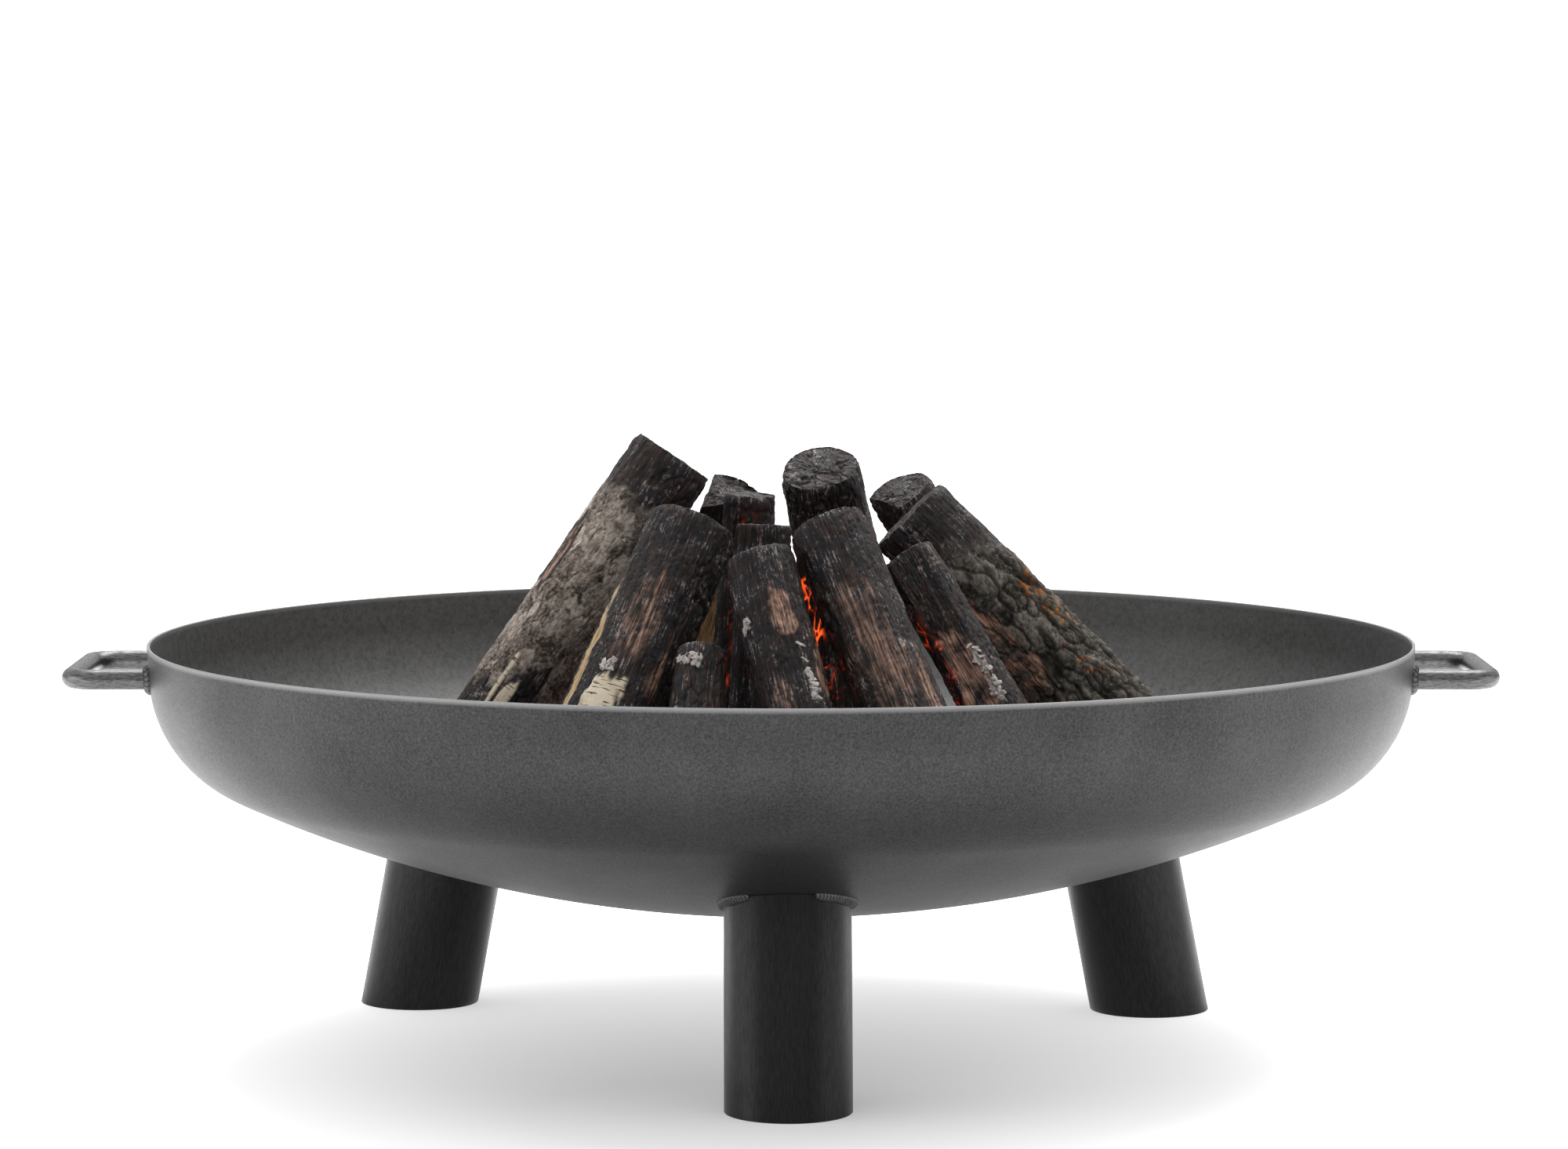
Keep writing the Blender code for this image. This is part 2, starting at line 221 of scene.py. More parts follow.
def wrapped(name, grid, material, marks=None, poles=True, crease=None):
    """A closed surface from a grid of rows x columns x 3 that wraps round its columns. With poles, each end
    row is closed by a fan to its mean point; without, the last row joins the first. Faces are turned so that
    the volume they hold counts as positive."""
    rows, columns = grid.shape[:2]
    index = np.arange(rows * columns).reshape(rows, columns)
    beside = np.roll(index, -1, axis=1)
    upper = slice(1, None) if poles else np.roll(np.arange(rows), -1)
    lower = slice(0, -1) if poles else slice(None)
    quads = np.stack([index[lower], beside[lower], beside[upper], index[upper]], -1).reshape(-1, 4)
    points = grid.reshape(-1, 3)
    fans = np.empty((0, 3), int)
    marks = {mark: values.reshape(-1, 3) for mark, values in (marks or {}).items()}
    if poles:
        low, high = rows * columns, rows * columns + 1
        fans = np.concatenate([
            np.stack([beside[0], index[0], np.full(columns, low)], -1),
            np.stack([index[-1], beside[-1], np.full(columns, high)], -1),
        ])
        points = np.concatenate([points, [grid[0].mean(0), grid[-1].mean(0)]])
        for mark, values in marks.items():
            ends = [values[:columns].mean(0), values[-columns:].mean(0)]
            marks[mark] = np.concatenate([values, ends])
    corner = [points[quads[:, number]] for number in range(4)]
    volume = np.einsum("ij,ij->", corner[0], np.cross(corner[1], corner[2]) + np.cross(corner[2], corner[3]))
    if volume < 0.0:
        quads, fans = quads[:, ::-1], fans[:, ::-1]
    made = add_mesh(name, points, [quads, fans], marks, material)
    if crease is not None:
        made.data.set_sharp_from_angle(angle=math.radians(crease))
    return made


def place(piece, body, slot, *nodes):
    """Puts a piece on its body and in the place of the solids that it stands for. Its slot is not used."""
    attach(piece, body)
    if nodes:
        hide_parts(*nodes)


# ---------------------------------------------------------------- materials


WHITE = (1.0, 1.0, 1.0, 1.0)
MIX = {"out": 2, "data_type": "RGBA"}  # a mix of colours: input 0 is the share of 7 over 6


def colour(code):
    """An sRGB hex code as linear red, green, blue and alpha."""
    parts = np.array([int(code[start : start + 2], 16) / 255.0 for start in (1, 3, 5)])
    linear = np.where(parts <= 0.04045, parts / 12.92, ((parts + 0.055) / 1.055) ** 2.4)
    return (*linear.tolist(), 1.0)


def fill(tree, node, sockets):
    """Sets each named or numbered input of a node to a value, or links it to another node's output."""
    for socket, value in sockets.items():
        if isinstance(value, bpy.types.NodeSocket):
            tree.links.new(value, node.inputs[socket])
        else:
            node.inputs[socket].default_value = value


def add(tree, kind, sockets=None, out=0, **settings):
    """Adds a node with its settings and inputs. Gives its output number or name out."""
    made = tree.nodes.new("ShaderNode" + kind)
    for setting, value in settings.items():
        setattr(made, setting, value)
    fill(tree, made, sockets or {})
    return made.outputs[out]


def new_material(name):
    """An empty material, its node tree and its Principled shader."""
    made = bpy.data.materials.new(name)
    made.use_nodes = True
    return made, made.node_tree, made.node_tree.nodes["Principled BSDF"]


def rolled_steel(name, dark, light, roughness, grain, clouds, stretch, metallic):
    """Bare hot-rolled steel under its mill scale: a matt blue-grey oxide skin, cloudy over tens of
    millimetres, finely grained, and a little shinier where it has been rubbed. Stretch draws the pattern
    out along the rolling direction, which is z in the mark 'own'."""
    made, tree, shader = new_material(name)
    own = add(tree, "Attribute", attribute_name="own", out="Vector")
    drawn = add(tree, "Mapping", {0: own, "Scale": (1.0, 1.0, 1.0 / stretch)})
    cloud, fine, broken = (
        add(tree, "TexNoise", {"Vector": where, "Scale": 1.0 / size, "Detail": detail, "Roughness": coarse})
        for where, size, detail, coarse in (
            (drawn, clouds, 5.0, 0.6), (drawn, grain, 3.0, 0.7), (own, 0.004, 6.0, 0.75))
    )
    both = add(tree, "Math", {0: cloud, 1: 0.35, 2: fine}, operation="MULTIPLY_ADD")
    share = add(tree, "MapRange", {0: both, 1: 0.45, 2: 0.90})
    tint = add(tree, "Mix", {0: share, 6: colour(dark), 7: colour(light)}, **MIX)
    # Dust and soot: the mark 'worn' holds pale ash dust, soot, and bared metal on cut edges.
    worn = add(tree, "Attribute", attribute_name="worn", out="Vector")
    parts = add(tree, "SeparateXYZ", {0: worn}).node.outputs
    dusty = add(tree, "Math", {0: parts[0], 1: broken}, operation="MULTIPLY")
    dusty = add(tree, "MapRange", {0: dusty, 1: 0.10, 2: 0.48, 4: 0.85})
    for share, top in ((parts[1], "#1b1a19"), (dusty, "#858483"), (parts[2], "#8e8e8e")):
        tint = add(tree, "Mix", {0: share, 6: tint, 7: colour(top)}, **MIX)
    gloss = add(tree, "MapRange", {0: both, 1: 0.45, 2: 0.90, 3: roughness + 0.05, 4: roughness - 0.05})
    gloss = add(tree, "Math", {0: dusty, 1: 0.35, 2: gloss}, operation="MULTIPLY_ADD")
    raised = add(tree, "Bump", {"Strength": 0.25, "Distance": 0.15 * MM, "Height": fine})
    fill(tree, shader, {"Base Color": tint, "Roughness": gloss, "Metallic": metallic, "Normal": raised})
    return made


def weld_metal():
    """Mild-steel weld bead left as laid: dull grey ripples with black oxide in the hollows."""
    made, tree, shader = new_material("mild_steel_weld_bead")
    place_of = add(tree, "TexCoord", out="Object")
    marks = add(tree, "Attribute", attribute_name="worn", out="Vector")
    soot = add(tree, "SeparateXYZ", {0: marks}, out=1)
    spots = add(tree, "TexNoise", {"Vector": place_of, "Scale": 1.0 / 0.003, "Detail": 4.0})
    tint = add(tree, "Mix", {0: spots, 6: colour("#2f2f2f"), 7: colour("#686766")}, **MIX)
    tint = add(tree, "Mix", {0: soot, 6: tint, 7: colour("#1c1b1a")}, **MIX)
    raised = add(tree, "Bump", {"Strength": 0.3, "Distance": 0.2 * MM, "Height": spots})
    fill(tree, shader, {"Base Color": tint, "Metallic": 0.9, "Roughness": 0.38, "Normal": raised})
    return made


def firewood_material(name, bark_dark, bark_light):
    """Firewood, part burnt. Marks: 'own' is the place in the log's own axes, z along the grain; 'burn' holds
    char, white ash and ember glow; 'skin' holds birch bark, bare pale wood and red-brown inner bark, which
    also colours the tan patches of burnt fibre and painted firelight; and 'relief' holds painted shade in
    the cracks, a tone for each plate, and lichen. Bark is matt, char has a dull silky gloss."""
    made, tree, shader = new_material(name)
    own = add(tree, "Attribute", attribute_name="own", out="Vector")
    marks = []
    for mark in ("burn", "skin", "relief"):
        held = add(tree, "Attribute", attribute_name=mark, out="Vector")
        marks += list(add(tree, "SeparateXYZ", {0: held}).node.outputs)
    char, ash, glow, birch, pale, red, shade_in_cracks, tone, lichen = marks
    grain = add(tree, "Mapping", {0: own, "Scale": (1.0, 1.0, 1.0 / 16.0)})
    # Fibres about 0.8 mm across, drawn out sixteen times along the grain.
    fibre, speck, blotch = (
        add(tree, "TexNoise", {"Vector": where, "Scale": 1.0 / size, "Detail": detail, "Roughness": coarse})
        for where, size, detail, coarse in (
            (grain, 0.0012, 4.0, 0.65), (own, 0.0022, 5.0, 0.7), (own, 0.014, 5.0, 0.6))
    )
    plate = add(tree, "Math", {0: tone, 1: 0.5, 2: blotch}, operation="MULTIPLY_ADD")
    plate = add(tree, "Math", {0: speck, 1: 1.2, 2: plate}, operation="MULTIPLY_ADD")
    plate = add(tree, "MapRange", {0: plate, 1: 1.0, 2: 1.62})
    bark = add(tree, "Mix", {0: plate, 6: colour(bark_dark), 7: colour(bark_light)}, **MIX)
    warm = add(tree, "MapRange", {0: blotch, 1: 0.54, 2: 0.66, 4: 0.55})
    spots = add(tree, "MapRange", {0: speck, 1: 0.60, 2: 0.68, 4: 0.7})
    for share, top in ((warm, "#5d4334"), (spots, "#a19a8c")):
        bark = add(tree, "Mix", {0: share, 6: bark, 7: colour(top)}, **MIX)
    # Char: black, blue-black where it is clean, brown where the fibres show through, and pale flecks, partly
    # ash and partly painted glints.
    blue = add(tree, "MapRange", {0: blotch, 1: 0.42, 2: 0.60})
    coal = add(tree, "Mix", {0: blue, 6: colour("#0f0b0a"), 7: colour("#161a20")}, **MIX)
    brown = add(tree, "Math", {0: tone, 1: 0.12, 2: fibre}, operation="MULTIPLY_ADD")
    brown = add(tree, "MapRange", {0: brown, 1: 0.54, 2: 0.70, 4: 0.85})
    ash_and_glint_flecks = add(tree, "Math", {0: speck, 1: 0.8, 2: fibre}, operation="MULTIPLY_ADD")
    ash_and_glint_flecks = add(tree, "Math", {0: blotch, 1: 0.8, 2: ash_and_glint_flecks}, operation="MULTIPLY_ADD")
    ash_and_glint_flecks = add(tree, "MapRange", {0: ash_and_glint_flecks, 1: 1.43, 2: 1.58, 4: 0.8})
    for share, top in ((brown, "#3f2d26"), (ash_and_glint_flecks, "#a3968e")):
        coal = add(tree, "Mix", {0: share, 6: coal, 7: colour(top)}, **MIX)
    sharp = add(tree, "MapRange", {0: fibre, 1: 0.36, 2: 0.64})
    # Birch bark: chalky cream, with red-brown pores drawn out round the log.
    rings = add(tree, "Mapping", {0: own, "Scale": (1.0, 1.0, 9.0)})
    pores = add(tree, "TexNoise", {"Vector": rings, "Scale": 1.0 / 0.010, "Detail": 2.0})
    pores = add(tree, "MapRange", {0: pores, 1: 0.60, 2: 0.65})
    wood, inner, paper, moss, dust = (
        add(tree, "Mix", {0: share, 6: colour(dark), 7: colour(light)}, **MIX)
        for share, dark, light in (
            (sharp, "#7d5d3c", "#d6bf94"), (sharp, "#38231c", "#c39b86"), (blotch, "#b9a88c", "#e6dcc8"),
            (speck, "#6f4426", "#c07a3c"), (speck, "#8a807b", "#d8d2cd"))
    )
    paper = add(tree, "Mix", {0: pores, 6: paper, 7: colour("#4b2a22")}, **MIX)
    # Painted shade: the cracks are darkened towards near black.
    deep = add(tree, "Math", {0: shade_in_cracks, 1: 0.85}, operation="MULTIPLY")
    tint = bark
    for share, top in ((lichen, moss), (deep, colour("#120d0b")), (char, coal), (pale, wood), (red, inner),
                       (birch, paper), (ash, dust)):
        tint = add(tree, "Mix", {0: share, 6: tint, 7: top}, **MIX)
    gloss = add(tree, "Math", {0: char, 1: -0.32, 2: 0.92}, operation="MULTIPLY_ADD")
    gloss = add(tree, "Math", {0: ash, 1: 0.3, 2: gloss}, operation="MULTIPLY_ADD", use_clamp=True)
    relief = add(tree, "Math", {0: fibre, 1: speck}, operation="ADD")
    raised = add(tree, "Bump", {"Strength": 0.8, "Distance": 0.5 * MM, "Height": relief})
    heat = add(tree, "Mix", {0: glow, 6: colour("#6a0c06"), 7: colour("#ff5a1c")}, **MIX)
    power = add(tree, "Math", {0: glow, 1: 1.7}, operation="MULTIPLY")
    fill(tree, shader, {"Base Color": tint, "Roughness": gloss, "Specular IOR Level": 0.25, "Normal": raised,
                        "Emission Color": heat, "Emission Strength": power})
    return made


def studio_white():
    """Matt white studio paper with some light of its own, as where a studio floor is lit up to white, so
    that shadows on it stay pale. That light is weakest under the bowl and doesn't fall on other things."""
    made, tree, shader = new_material("white_paper_floor")
    place_of = add(tree, "TexCoord", out="Object")
    spots = add(tree, "TexNoise", {"Vector": place_of, "Scale": 4.0, "Detail": 2.0})
    shade = add(tree, "Mix", {0: spots, 6: colour("#f0f0f0"), 7: colour("#f6f6f6")}, **MIX)
    away = add(tree, "VectorMath", {0: place_of, 1: SHADOW_MIDDLE}, operation="DISTANCE", out="Value")
    even = add(tree, "MapRange", {0: away, 1: 0.10, 2: 0.65, 3: FLOOR_LIGHT, 4: 3.0 * FLOOR_LIGHT})
    bounced = add(tree, "LightPath", out="Is Diffuse Ray")
    even = add(tree, "MapRange", {0: bounced, 3: even, 4: 0.0})
    fill(tree, shader, {"Base Color": shade, "Roughness": 0.9, "Specular IOR Level": 0.1,
                        "Emission Color": WHITE, "Emission Strength": even})
    return made


BOWL_STEEL = rolled_steel("hot_rolled_steel_sheet", "#2a2a2a", "#494949", 0.43, 1.5 * MM, 60 * MM, 1.0, 0.80)
LEG_STEEL = rolled_steel("black_steel_tube", "#191919", "#2b2b2b", 0.38, 0.9 * MM, 18 * MM, 9.0, 0.85)
BAR_STEEL = rolled_steel("hot_rolled_round_bar", "#3c3c3c", "#7c7c7c", 0.34, 1.0 * MM, 12 * MM, 4.0, 0.9)
BEAD = weld_metal()
GREY_BARK = firewood_material("grey_barked_firewood", "#41362f", "#c4b8ac")
FURROWED_BARK = firewood_material("furrowed_barked_firewood", "#33312b", "#7c776f")


# ---------------------------------------------------------------- steel pieces


def wall_distance(height, offset=0.0):
    """How far out the lip or knuckle is at each height, moved outwards by offset along its normal."""
    lip = RIM_RADIUS - (RIM_HEIGHT - height) * math.tan(LIP_FLARE) + offset / math.cos(LIP_FLARE)
    curve = (KNUCKLE_RADIUS + offset) ** 2 - (KNUCKLE_Z - height) ** 2
    on_lip = height > KNUCKLE_Z - (KNUCKLE_RADIUS + offset) * math.sin(LIP_FLARE)
    return np.where(on_lip, lip, KNUCKLE_X + np.sqrt(np.maximum(curve, 0.0)))


def dish_height(distance, offset=0.0):
    """Height of the dish at each distance from the middle: its centre less the drop of a sphere."""
    return DISH_Z - np.sqrt((DISH_RADIUS + offset) ** 2 - distance**2)


def bowl_profile(offset, top):
    """Distance and height from the middle of the dish to the top of the lip, on the surface moved by offset:
    an arc of the dish, an arc of the knuckle, and the straight lip."""
    dish = np.linspace(0.0, JOIN, 60)[1:]
    knuckle = np.linspace(JOIN, math.pi / 2 - LIP_FLARE, 33)[1:]
    lip = np.linspace(KNUCKLE_Z - KNUCKLE_RADIUS * math.sin(LIP_FLARE), top, 8)[1:]
    return np.concatenate([
        np.stack([(DISH_RADIUS + offset) * np.sin(dish), DISH_Z - (DISH_RADIUS + offset) * np.cos(dish)], -1),
        np.stack([KNUCKLE_X + (KNUCKLE_RADIUS + offset) * np.sin(knuckle),
                  KNUCKLE_Z - (KNUCKLE_RADIUS + offset) * np.cos(knuckle)], -1),
        np.stack([wall_distance(lip, offset), lip], -1),
    ])


def make_bowl():
    """The sheet's section spun round the upright axis: out along the underside, over the cut edge with its
    corners broken, and back along the inside. Pressed sheet is never quite true, so it waves by 0.1 mm."""
    edge = 0.35 * MM
    outside = bowl_profile(0.0, RIM_HEIGHT - edge)
    inside = bowl_profile(-SHEET, RIM_HEIGHT - edge)[::-1]
    cut = np.array([[outside[-1, 0] - edge, RIM_HEIGHT], [inside[0, 0] + edge, RIM_HEIGHT]])
    section = np.concatenate([outside, cut, inside])
    turn = full_turn(288)
    distance, height = section[:, :1], section[:, 1:]
    share = distance / RIM_RADIUS
    wave = 0.1 * MM * share**2 * (np.sin(3 * turn + 0.4) + np.sin(5 * turn + 2.0)) - 0.1 * MM * share**2
    reach = distance + wave * ease(distance, 0.1, 0.3)
    grid = polar(turn, reach, height)
    row = np.arange(len(section))[:, None]
    is_inside = row > len(outside)
    ragged = distance + 0.012 * noise(grid / 0.03, 5)
    dust = np.where(is_inside, 1.0 - 0.50 * ease(ragged, 0.165, 0.225), 0.0)
    soot = np.where(is_inside, 0.55 * (1.0 - ease(distance, 0.13, 0.30)), 0.0)
    bare = np.where(abs(row - len(outside) - 0.5) < 1.6, 0.9, 0.0)
    marks = {"own": grid, "worn": stacked(dust, soot, bare)}
    bowl = wrapped("bowl_sheet", grid, BOWL_STEEL, marks, crease=35)
    place(bowl, "fire_bowl", "hot_rolled_sheet", "bowl")


class Tube:
    """A leg's axes: foot is where its middle line meets the ground, along runs up it, and out and side are
    square to it, out being away from the middle of the bowl."""

    def __init__(self, azimuth, distance):
        radial, up = around(azimuth, 1.0, 0.0), np.array([0.0, 0.0, 1.0])
        self.foot = distance * radial
        self.along = math.cos(LEG_SPLAY) * up - math.sin(LEG_SPLAY) * radial
        self.out = math.cos(LEG_SPLAY) * radial + math.sin(LEG_SPLAY) * up
        self.side = np.cross(up, radial)

    def start(self, turn, radius):
        """Points round the foot at each angle and radius."""
        out, side = (radius * np.cos(turn))[..., None], (radius * np.sin(turn))[..., None]
        return self.foot + out * self.out + side * self.side

    def at_ground(self, turn, radius):
        """Those points moved along the tube to the ground."""
        start = self.start(turn, radius)
        return start - start[..., 2:] / self.along[2] * self.along

    def under_dish(self, turn, radius, below=0.0):
        """Those points moved up the tube to GAP under the dish, by the lower root of the line's meeting with
        the sphere, then down by below."""
        start = self.start(turn, radius)
        towards = start - np.array([0.0, 0.0, DISH_Z])
        half = towards @ self.along
        root = np.sqrt(half**2 - ((towards**2).sum(-1) - (DISH_RADIUS + GAP) ** 2))
        return start + (-half - root - below)[..., None] * self.along


def make_leg(name, tube):
    """A tube wall carried round: up the outside, over the coped end, down the bore and across the cut foot,
    whose corners are broken by 0.4 mm."""
    turn = full_turn(128)
    bore, edge = LEG_RADIUS - LEG_WALL, 0.4 * MM
    climb = np.linspace(0.0, 1.0, 24)[:, None, None]
    outer, inner = (
        blend(tube.at_ground(turn, radius), tube.under_dish(turn, radius), climb)
        for radius in (LEG_RADIUS, bore)
    )
    outer[0, :, 2] += edge
    inner[0, :, 2] += edge
    feet = np.stack([tube.at_ground(turn, bore + edge), tube.at_ground(turn, LEG_RADIUS - edge)])
    grid = np.concatenate([outer, inner[::-1], feet])
    away = grid - tube.foot
    own = np.stack([away @ tube.out, away @ tube.side, away @ tube.along], -1)
    bare = np.zeros(grid.shape[:2])
    bare[-2:] = 0.45
    marks = {"own": own, "worn": stacked(0.0, 0.0, bare)}
    leg = wrapped(f"tube_leg_{name}", grid, LEG_STEEL, marks, poles=False, crease=35)
    place(leg, "fire_bowl", "leg_tube", f"leg_{name}")


def fillet(spread):
    """The outline of a fillet: out along the first face, back over the convex weld face to the second, and
    in to the root. Gives the shares of its size across and along, and how far a point is on the weld face."""
    face = np.linspace(0.0, math.pi / 2, spread)
    bulge = 0.74 + 0.10 * np.sin(2 * face)
    across = np.concatenate([[0.0, 0.5], np.cos(face) ** 0.8 * (bulge + 0.26 * np.cos(face) ** 6), [0.0]])
    along = np.concatenate([[0.0, 0.0], np.sin(face) ** 0.8 * (bulge + 0.26 * np.sin(face) ** 6), [0.5]])
    shown = np.concatenate([[0.0, 0.0], np.sin(2 * face), [0.0]])
    return across, along, shown


def rippled(run, shown, seed):
    """Height of the ripples of a bead at each distance along it: crescents, because the phase runs ahead in
    the middle of the weld face, and their depth and pitch vary a little."""
    drift = 0.8 * noise(stacked(run / 0.009, 0.0, seed), seed)
    return np.sin(math.tau * (run / RIPPLE + drift - 0.45 * shown))


def add_bead(name, grid, ripple, shown, poles=True):
    """A bead from its grid, dark in the hollows of its ripples and at its edges."""
    dark = 0.75 * ease(-ripple, 0.0, 1.0) + 0.3 * (1 - shown)
    bead = wrapped(f"bead_{name}", grid, BEAD, {"worn": stacked(0.0, dark, 0.0)}, poles=poles, crease=50)
    place(bead, "fire_bowl", "weld_metal", f"weld_{name}")


def make_leg_stitch(name, tube, first, last, seed):
    """A fillet swept round the tube in the corner with the dish. Its size swells along it, ripples, and
    draws in at both rounded ends."""
    across, along, shown = fillet(9)
    turn = np.radians(np.linspace(first, last, 150))[:, None]
    share = np.linspace(-1.0, 1.0, 150)[:, None]
    run = turn * LEG_RADIUS + 0.0 * shown
    ripple = rippled(run, shown, seed)
    swell = 1.0 + 0.16 * noise(stacked(run / 0.012, 0.0, 0.0), seed)
    drawn_in = np.sqrt(np.clip(1.0 - abs(share) ** 14, 0.0, 1.0))
    size = LEG_BEAD * swell**2 * drawn_in * (1.0 + 0.06 * ripple * shown)
    size = np.maximum(size, 0.6 * MM)
    grid = tube.under_dish(turn + 0.0 * shown, LEG_RADIUS - SUNK + across * size, along * size - SUNK - GAP)
    add_bead(name, grid, ripple, shown)


def handle_path():
    """Middle line of a handle and its direction: straight off the lip, round a quarter bend, across, round
    the other bend and back."""
    reach = HANDLE_REACH - ROD_RADIUS - BEND_RADIUS
    half = HANDLE_SPREAD / 2 - BEND_RADIUS
    root = float(wall_distance(HANDLE_HEIGHT))
    out = np.linspace(0.0, 1.0, 16, endpoint=False)
    bend = np.radians(np.linspace(0.0, 90.0, 19))
    there = stacked(root + (reach - root) * out, -HANDLE_SPREAD / 2, 1.0, 0.0)
    sine, cosine = np.sin(bend), np.cos(bend)
    first = stacked(reach + BEND_RADIUS * sine, -half - BEND_RADIUS * cosine, cosine, sine)
    across = np.linspace(-half, half, 22)[1:-1]
    run = stacked(reach + BEND_RADIUS, across, 0.0, 1.0)
    half_path = np.concatenate([there, first])
    back = half_path[::-1] * np.array([1.0, -1.0, -1.0, 1.0])
    return np.concatenate([half_path, run, back])


def on_wall(across, height, offset):
    """Distance along X at which the wall, moved out by offset, stands at each Y and height."""
    return np.sqrt(wall_distance(height, offset) ** 2 - across**2)


def make_handle(name, side):
    """A round bar carried along the path, its ends coped to the lip. Bending flattens a bar a little, and
    hot-rolled bar is never quite round, so its radius varies by a tenth of a millimetre."""
    path = handle_path()
    turn = full_turn(40)
    x, y, run_x, run_y = (path[:, [number]] for number in range(4))
    uneven = noise(stacked(x / 0.02, y / 0.02, np.cos(turn)), 3)
    radius = ROD_RADIUS * (1.0 + 0.012 * uneven)
    out, up = radius * np.cos(turn), radius * np.sin(turn)
    grid = stacked(x + out * run_y, y - out * run_x, HANDLE_HEIGHT + up)
    for end in (0, -1):
        grid[end, :, 0] = on_wall(grid[end, :, 1], grid[end, :, 2], GAP)
    run = np.concatenate([[0.0], np.cumsum(np.linalg.norm(np.diff(path[:, :2], axis=0), axis=1))])
    own = stacked(out, up, run[:, None])
    grid[..., 0] *= side
    bar = wrapped(f"bar_handle_{name}", grid, BAR_STEEL, {"own": own, "worn": 0 * own}, crease=50)
    place(bar, "fire_bowl", "round_bar", f"handle_{name}")


def make_handle_weld(name, side, middle, seed):
    """A fillet swept all the way round one end of the bar, against the lip."""
    across, along, shown = fillet(9)
    turn = full_turn(120)[:, None]
    drift = 2.0 * noise(polar(turn, 1.0, 0 * shown), seed)
    ripple = np.sin(BAR_RIPPLES * turn + drift - 2.4 * shown)
    swell = 1.0 + 0.18 * noise(polar(turn, 1.5, 0 * shown), seed)
    size = HANDLE_BEAD * swell * (1.0 + 0.06 * ripple * shown)
    reach = ROD_RADIUS - SUNK + across * size
    y = middle + reach * np.cos(turn)
    z = HANDLE_HEIGHT + reach * np.sin(turn)
    x = side * (on_wall(y, z, 0.0) - SUNK + along * size)
    add_bead(name, stacked(x, y, z), ripple, shown, poles=False)


# ---------------------------------------------------------------- firewood


class Log:
    """A piece of firewood. Aim and top are points on its axis, by azimuth and distance; splits are flat
    faces by direction round the log and depth as a share of the radius. Burnt is where char starts: 0 is all
    over, and about 1 only deep inside the stack. Fine is the share of full detail, and glow the embers'.
    Patches are (kind, direction round the log, half width in degrees, lowest and highest point)."""

    def __init__(self, name, aim, top, height, radii, splits, bark, burnt, patches=(), fine=1.0, glow=0.0):
        self.name, self.radii, self.splits = name, radii, splits
        self.aim, self.top = around(*aim, AIM_HEIGHT), around(*top, height)
        self.bark, self.burnt, self.patches, self.fine, self.glow = bark, burnt, patches, fine, glow


GREY, FURROWED, BARE = "grey bark", "furrowed bark", "no bark"

